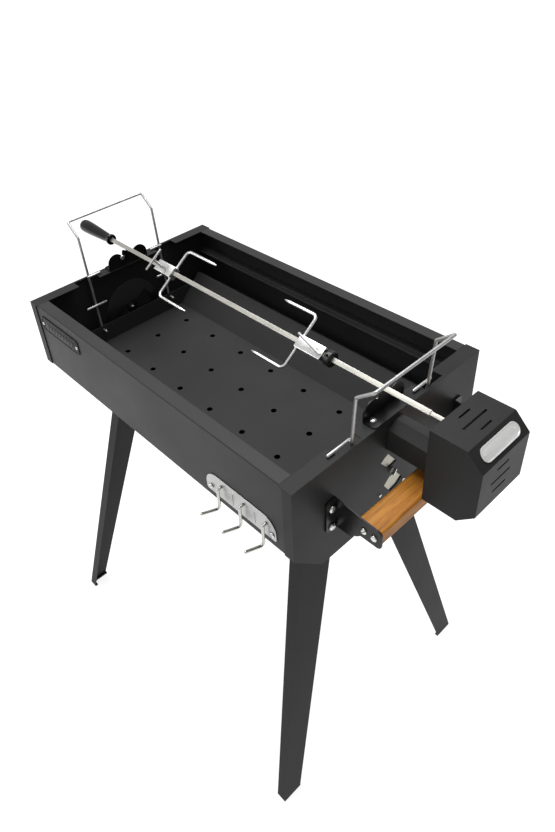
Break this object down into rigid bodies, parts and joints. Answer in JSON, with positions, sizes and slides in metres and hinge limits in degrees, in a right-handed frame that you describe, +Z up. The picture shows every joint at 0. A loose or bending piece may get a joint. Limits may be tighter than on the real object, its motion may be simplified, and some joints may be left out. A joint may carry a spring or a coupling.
{
  "type": "rotisserie spit roaster",
  "caption": "Trough-shaped charcoal rotisserie on splayed legs, with a motor-driven spit and sliding forks, lift-up tray, end vents, wooden handle and tool hooks.",
  "frame": {"origin": "on the floor, under the middle of the roaster's overall box", "axes": "+X along the spit towards the motor, -Y is the front with the hooks, +Z up"},
  "size_m": [1.007, 0.5416, 0.9395],
  "materials": {
    "powder_coat": "fine-textured satin powder coat",
    "stainless": "brushed stainless",
    "bright_wire": "bright plated wire",
    "black_plastic": "moulded, slightly glossy",
    "oiled_wood": "oiled hardwood, straight grain",
    "grey_plastic": "moulded"
  },
  "bodies": {
    "trough": {"front_panel": "powder_coat", "back_panel": "powder_coat", "left_end_panel": "powder_coat", "right_end_panel": "powder_coat", "bottom_pan": "powder_coat", "front_ledge_rail": "powder_coat", "back_ledge_rail": "powder_coat", "left_spit_support": "powder_coat", "right_spit_support": "powder_coat", "motor_bracket": "powder_coat", "motor_cover": "powder_coat", "front_handle_bracket": "powder_coat", "back_handle_bracket": "powder_coat", "name_plate": "powder_coat", "left_front_leg": "powder_coat", "left_back_leg": "powder_coat", "right_front_leg": "powder_coat", "right_back_leg": "powder_coat", "left_support_bolt_front": "stainless", "left_support_bolt_back": "stainless", "right_support_bolt_front": "stainless", "right_support_bolt_back": "stainless", "motor_plate": "stainless", "motor_can": "stainless", "badge_plate": "stainless", "front_handle_bolt_upper": "stainless", "front_handle_bolt_lower": "stainless", "back_handle_bolt_upper": "stainless", "back_handle_bolt_lower": "stainless", "hook_plate": "stainless", "left_utensil_hook": "bright_wire", "middle_utensil_hook": "bright_wire", "right_utensil_hook": "bright_wire", "switch_frame": "black_plastic", "cord_inlet": "black_plastic", "left_front_foot_pad": "black_plastic", "left_back_foot_pad": "black_plastic", "right_front_foot_pad": "black_plastic", "right_back_foot_pad": "black_plastic", "handle_bar": "oiled_wood", "gearbox_housing": "grey_plastic"},
    "charcoal_tray": {"charcoal_tray": "powder_coat"},
    "left_bail": {"left_lift_bail": "bright_wire"},
    "right_bail": {"right_lift_bail": "bright_wire"},
    "spit": {"spit_rod": "bright_wire", "spit_grip": "black_plastic"},
    "left_fork": {"left_fork": "bright_wire"},
    "left_fork_screw": {"left_fork_screw": "bright_wire"},
    "right_fork": {"right_fork": "bright_wire"},
    "right_fork_screw": {"right_fork_screw": "bright_wire"},
    "collar": {"spit_collar": "black_plastic"},
    "drive_socket": {"drive_socket": "stainless"},
    "left_vent": {"left_vent_disc": "stainless", "left_vent_knob": "stainless"},
    "right_vent": {"right_vent_disc": "stainless", "right_vent_knob": "stainless"},
    "power_switch": {"power_switch": "black_plastic"}
  },
  "joints": [
    {"name": "spit_spin", "type": "hinge", "parent": "trough", "child": "spit", "pos_m": [-0.0165, 0, 0.8645], "axis": [1, 0, 0], "continuous": true},
    {"name": "socket_spin", "type": "hinge", "parent": "trough", "child": "drive_socket", "pos_m": [0.4395, 0, 0.8645], "axis": [1, 0, 0], "continuous": true},
    {"name": "left_fork_slide", "type": "slide", "parent": "spit", "child": "left_fork", "axis": [1, 0, 0], "range_m": [-0.1, 0.08]},
    {"name": "left_fork_clamp", "type": "hinge", "parent": "left_fork", "child": "left_fork_screw", "pos_m": [-0.2165, 0, 0.8645], "axis": [0, -0.5878, 0.809], "range_deg": [0, 360]},
    {"name": "right_fork_slide", "type": "slide", "parent": "spit", "child": "right_fork", "axis": [1, 0, 0], "range_m": [-0.08, 0.006]},
    {"name": "right_fork_clamp", "type": "hinge", "parent": "right_fork", "child": "right_fork_screw", "pos_m": [0.1815, 0, 0.8645], "axis": [0, -0.5878, 0.809], "range_deg": [0, 360]},
    {"name": "collar_slide", "type": "slide", "parent": "spit", "child": "collar", "axis": [1, 0, 0], "range_m": [0, 0.09]},
    {"name": "tray_lift", "type": "slide", "parent": "trough", "child": "charcoal_tray", "axis": [0, 0, 1], "range_m": [0, 0.056]},
    {"name": "left_bail_tilt", "type": "hinge", "parent": "charcoal_tray", "child": "left_bail", "pos_m": [-0.345, 0, 0.709], "axis": [0, 1, 0], "range_deg": [0, 7]},
    {"name": "right_bail_tilt", "type": "hinge", "parent": "charcoal_tray", "child": "right_bail", "pos_m": [0.312, 0, 0.709], "axis": [0, -1, 0], "range_deg": [0, 7]},
    {"name": "left_vent_turn", "type": "hinge", "parent": "trough", "child": "left_vent", "pos_m": [-0.3665, 0, 0.716], "axis": [-1, 0, 0], "range_deg": [0, 90]},
    {"name": "right_vent_turn", "type": "hinge", "parent": "trough", "child": "right_vent", "pos_m": [0.3335, 0, 0.716], "axis": [-1, 0, 0], "range_deg": [0, 90]},
    {"name": "power_switch_rock", "type": "hinge", "parent": "trough", "child": "power_switch", "pos_m": [0.4555, 0.0545, 0.848], "axis": [1, 0, 0], "range_deg": [0, 14]}
  ],
  "couplings": [
    {"joint": "socket_spin", "follows": "spit_spin", "ratio": 1}
  ]
}
